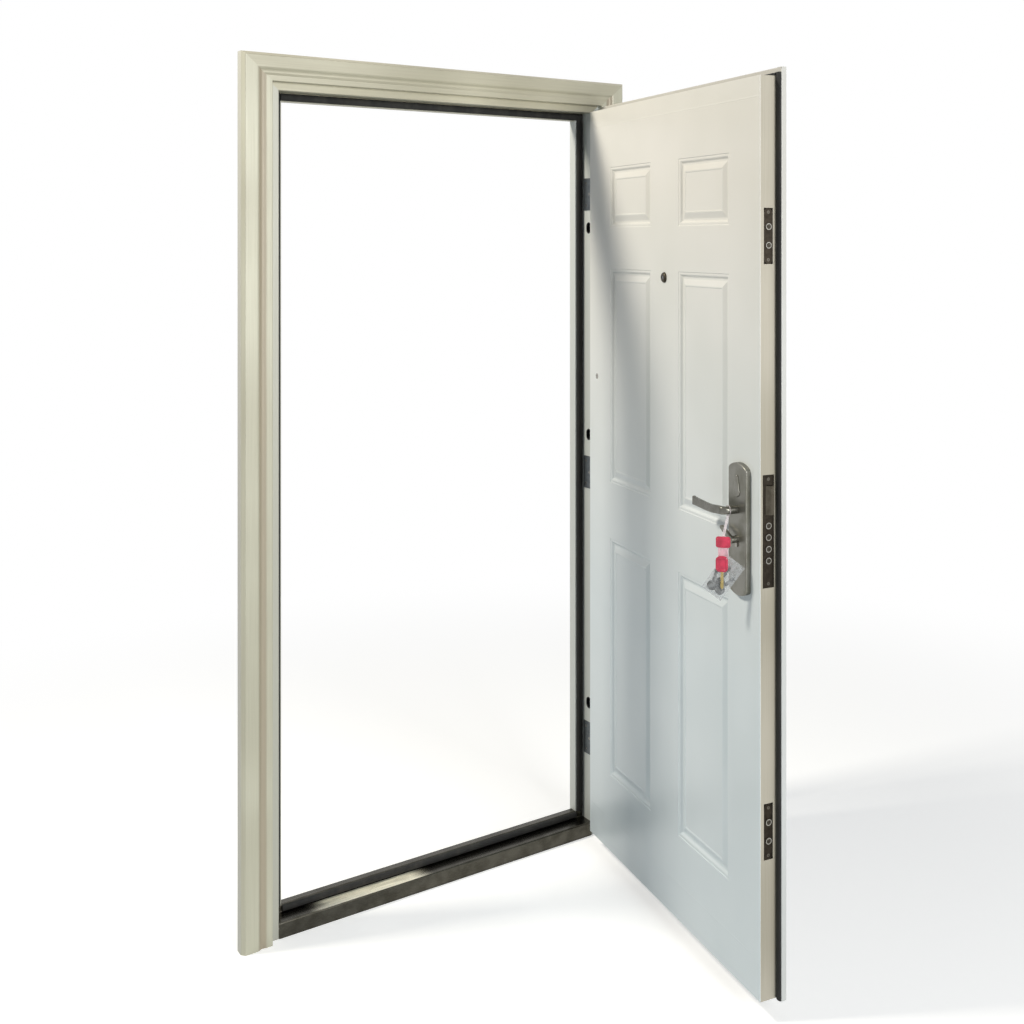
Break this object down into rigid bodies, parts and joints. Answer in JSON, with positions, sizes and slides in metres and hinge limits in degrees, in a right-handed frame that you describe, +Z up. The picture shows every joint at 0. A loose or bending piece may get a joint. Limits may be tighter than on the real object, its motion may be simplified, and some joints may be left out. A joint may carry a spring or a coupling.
{
  "type": "steel exterior door",
  "caption": "Single-leaf steel exterior door standing open in its mitred trim frame, with pressed panels, lever lock furniture, edge bolts, seals and a bright threshold.",
  "frame": {"origin": "on the underside of the sill, midway between the jambs and midway through the frame's depth", "axes": "+X along the wall towards the hinge jamb, +Y into the building, +Z up; the leaf opens towards -Y"},
  "size_m": [1.094, 1.0308, 2.115],
  "materials": {
    "frame_finish": "champagne enamel with a fine grain, satin",
    "leaf_finish": "white enamel, satin",
    "edge_finish": "champagne enamel, satin",
    "stainless": "brushed stainless steel",
    "nickel": "dark satin nickel",
    "lock_steel": "antique nickel plate",
    "bolt_steel": "bright plated steel",
    "hinge_steel": "dark grey plated steel",
    "seal_rubber": "black soft seal",
    "socket_plastic": "black moulded plastic",
    "core_board": "stiffening core, hidden",
    "viewer_brass": "dark bronzed brass",
    "strap_clear": "clear plastic strap",
    "tag_red": "red plastic",
    "pouch_clear": "clear plastic pouch with plated keys"
  },
  "bodies": {
    "frame": {"left_jamb": "frame_finish", "right_jamb": "frame_finish", "head": "frame_finish", "sill": "frame_finish", "threshold_cover": "stainless", "left_stop_seal": "seal_rubber", "right_stop_seal": "seal_rubber", "head_stop_seal": "seal_rubber", "threshold_seal": "seal_rubber", "main_strike": "lock_steel", "upper_strike": "lock_steel", "lower_strike": "lock_steel", "dog_sockets": "socket_plastic", "upper_hinge_frame_half": "hinge_steel", "middle_hinge_frame_half": "hinge_steel", "lower_hinge_frame_half": "hinge_steel"},
    "leaf": {"upper_hinge_leaf_half": "hinge_steel", "middle_hinge_leaf_half": "hinge_steel", "lower_hinge_leaf_half": "hinge_steel", "outer_skin": "leaf_finish", "inner_skin": "leaf_finish", "hinge_edge": "edge_finish", "lock_edge": "edge_finish", "top_edge": "edge_finish", "bottom_edge": "edge_finish", "core": "core_board", "hinge_lip_seal": "seal_rubber", "lock_lip_seal": "seal_rubber", "top_lip_seal": "seal_rubber", "dog_bolts": "bolt_steel", "main_lock": "lock_steel", "upper_lock": "lock_steel", "lower_lock": "lock_steel", "inner_backplate": "nickel", "outer_backplate": "nickel", "lock_cylinder": "bolt_steel", "peephole": "viewer_brass", "key_strap": "strap_clear", "key_tag": "tag_red", "key_pouch": "pouch_clear"},
    "handles": {"inner_lever": "nickel", "outer_lever": "nickel", "spindle": "bolt_steel"},
    "latch": {"latch_bolt": "bolt_steel"},
    "bolts": {"main_bolts": "bolt_steel", "upper_bolts": "bolt_steel", "lower_bolts": "bolt_steel"},
    "turn": {"thumb_turn": "nickel"}
  },
  "joints": [
    {"name": "leaf_swing", "type": "hinge", "parent": "frame", "child": "leaf", "pos_m": [0.478, -0.056, 1], "axis": [0, 0, 1], "range_deg": [-80.15, 84.85]},
    {"name": "handle_press", "type": "hinge", "parent": "leaf", "child": "handles", "pos_m": [0.2983, -0.88346, 1.083], "axis": [-0.9853, 0.1711, 0], "range_deg": [0, 40], "stiffness_Nm_per_rad": 2, "springref_deg": -34.38},
    {"name": "latch_retract", "type": "slide", "parent": "leaf", "child": "latch", "axis": [0.1711, 0.9853, 0], "range_m": [0, 0.0091]},
    {"name": "bolt_throw", "type": "slide", "parent": "leaf", "child": "bolts", "axis": [-0.1711, -0.9853, 0], "range_m": [0, 0.02]},
    {"name": "thumb_turn", "type": "hinge", "parent": "leaf", "child": "turn", "pos_m": [0.25248, -0.8755, 1.018], "axis": [0.9853, -0.1711, 0], "range_deg": [0, 90]}
  ],
  "couplings": [
    {"joint": "latch_retract", "follows": "handle_press", "m_per_rad": 0.013},
    {"joint": "thumb_turn", "follows": "bolt_throw", "rad_per_m": 78.5}
  ]
}
